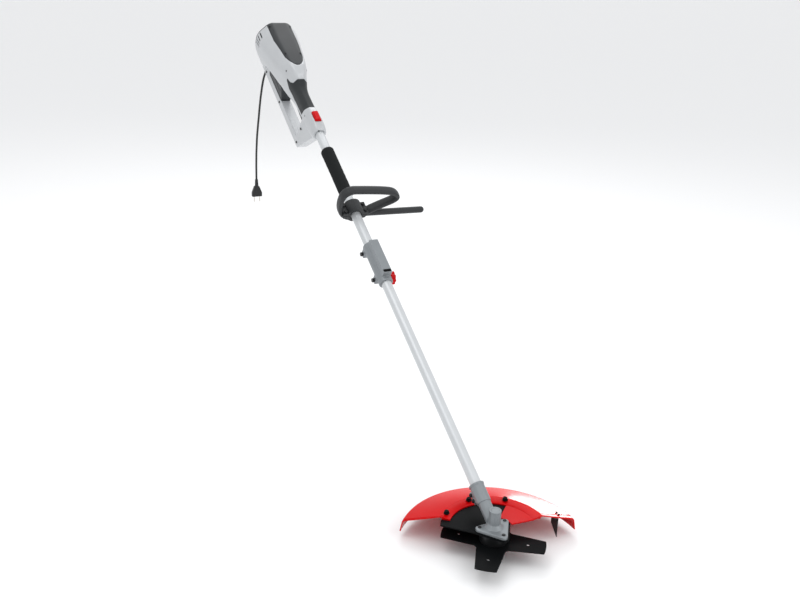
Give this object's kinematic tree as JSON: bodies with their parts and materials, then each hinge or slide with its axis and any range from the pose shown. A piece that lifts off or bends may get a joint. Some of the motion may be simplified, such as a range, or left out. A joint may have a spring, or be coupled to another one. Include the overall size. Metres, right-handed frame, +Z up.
{
  "type": "string trimmer",
  "caption": "Corded electric trimmer with rear handle, offset loop handle, two-piece shaft, angled gear head, four-tooth blade and half guard.",
  "frame": {"origin": "on the shaft axis at the middle of the rear grip, where the hand holds it", "axes": "+X points from the rear grip to the cutting head, level with the ground; +Y is the operator's left; +Z is up. The shaft runs down at 34 degrees and the blade is level."},
  "size_m": [1.7027, 0.376, 1.0348],
  "materials": {
    "silver_plastic": "satin moulded",
    "grey_plastic": "fine texture",
    "grip_rubber": "matt",
    "black_plastic": "fine texture",
    "handle_plastic": "fine texture",
    "red_gloss": "glossy",
    "ivory_plastic": "plain",
    "foam": "open foam",
    "tube_metal": "brushed, clear coated",
    "cast_grey": "satin paint on casting",
    "black_steel": "black oxide",
    "steel": "ground",
    "blade_black": "black coat",
    "lamination": "stacked sheet",
    "copper": "enamelled wire",
    "brass": "plain",
    "carbon": "carbon",
    "bronze": "sintered",
    "cord_sheath": "matt sheath",
    "plug_metal": "nickel"
  },
  "bodies": {
    "power_unit": {"housing_left": "silver_plastic", "housing_right": "silver_plastic", "top_cover": "grey_plastic", "grip_overmold": "grip_rubber", "vent_grille": "grey_plastic", "cord_retainer": "grip_rubber", "housing_screws": "black_steel", "cover_screws": "black_steel", "trigger_pin": "steel", "trigger_spring": "steel", "switch": "black_plastic", "lock_spring": "steel", "field_pack": "lamination", "field_coils": "copper", "brush_holders": "brass", "carbon_brushes": "carbon", "motor_bearings": "steel", "upper_bushes": "bronze", "upper_tube": "tube_metal", "foam_sleeve": "foam", "coupler_body": "cast_grey", "coupler_bolts": "black_steel", "cord_gland": "cord_sheath", "power_cord": "cord_sheath", "plug_body": "cord_sheath", "plug_pins": "plug_metal"},
    "trigger": {"trigger": "black_plastic"},
    "plunger": {"switch_plunger": "ivory_plastic"},
    "lock": {"lock_button": "red_gloss"},
    "rotor": {"armature": "copper", "rotor_shaft": "steel", "commutator": "copper", "motor_fan": "black_plastic", "drive_coupling": "steel", "upper_drive_shaft": "steel"},
    "handle_mount": {"handle_liner": "black_plastic"},
    "front_handle": {"loop_handle": "handle_plastic", "barrier_bar": "handle_plastic", "handle_clamp": "handle_plastic", "handle_bolts": "steel"},
    "knob": {"coupler_knob": "red_gloss"},
    "release": {"release_button": "black_plastic"},
    "lower_shaft": {"lower_tube": "tube_metal", "lower_bushes": "bronze", "gear_housing": "cast_grey", "head_screws": "black_steel", "head_bearings": "steel", "guard_base": "black_plastic", "guard": "red_gloss", "guard_knobs": "black_plastic", "line_cutter": "steel", "cutter_screws": "steel"},
    "lower_drive": {"lower_drive_shaft": "steel", "pinion": "steel"},
    "cutting": {"bevel_gear": "steel", "spindle": "steel", "inner_flange": "steel", "blade": "blade_black", "outer_flange": "steel", "blade_nut": "steel"}
  },
  "joints": [
    {"name": "trigger_pull", "type": "hinge", "parent": "power_unit", "child": "trigger", "pos_m": [0.01305, 0, -0.04861], "axis": [0, 1, 0], "range_deg": [0, 5], "stiffness_Nm_per_rad": 0.6, "springref_deg": -2.86},
    {"name": "plunger_press", "type": "slide", "parent": "power_unit", "child": "plunger", "axis": [0.5592, 0, 0.829], "range_m": [0, 0.0046]},
    {"name": "lock_press", "type": "slide", "parent": "power_unit", "child": "lock", "axis": [-0.5592, 0, -0.829], "range_m": [0, 0.004], "stiffness_N_per_m": 300, "springref_m": -0.001},
    {"name": "handle_slide", "type": "slide", "parent": "power_unit", "child": "handle_mount", "axis": [0.829, 0, -0.5592], "range_m": [-0.015, 0.08]},
    {"name": "handle_tilt", "type": "hinge", "parent": "handle_mount", "child": "front_handle", "pos_m": [0.36561, 0, -0.2466], "axis": [0.829, 0, -0.5592], "range_deg": [-30, 30]},
    {"name": "knob_turn", "type": "hinge", "parent": "power_unit", "child": "knob", "pos_m": [0.54124, 0.02, -0.38679], "axis": [0, 1, 0], "range_deg": [-720, 0]},
    {"name": "release_lift", "type": "slide", "parent": "power_unit", "child": "release", "axis": [0.5592, 0, 0.829], "range_m": [0, 0.005], "stiffness_N_per_m": 300, "springref_m": -0.001},
    {"name": "shaft_pull", "type": "slide", "parent": "power_unit", "child": "lower_shaft", "axis": [0.829, 0, -0.5592], "range_m": [0, 0.12]},
    {"name": "blade_spin", "type": "hinge", "parent": "lower_shaft", "child": "cutting", "pos_m": [1.13164, 0, -0.7933], "axis": [0, 0, 1], "continuous": true},
    {"name": "lower_drive_spin", "type": "hinge", "parent": "lower_shaft", "child": "lower_drive", "pos_m": [0.82904, 0, -0.55919], "axis": [0.829, 0, -0.5592], "continuous": true},
    {"name": "rotor_spin", "type": "hinge", "parent": "power_unit", "child": "rotor", "pos_m": [-0.16581, 0, 0.11184], "axis": [0.829, 0, -0.5592], "continuous": true}
  ],
  "couplings": [
    {"joint": "plunger_press", "follows": "trigger_pull", "m_per_rad": 0.051},
    {"joint": "lower_drive_spin", "follows": "blade_spin", "ratio": -1.3333},
    {"joint": "rotor_spin", "follows": "blade_spin", "ratio": -1.3333}
  ]
}
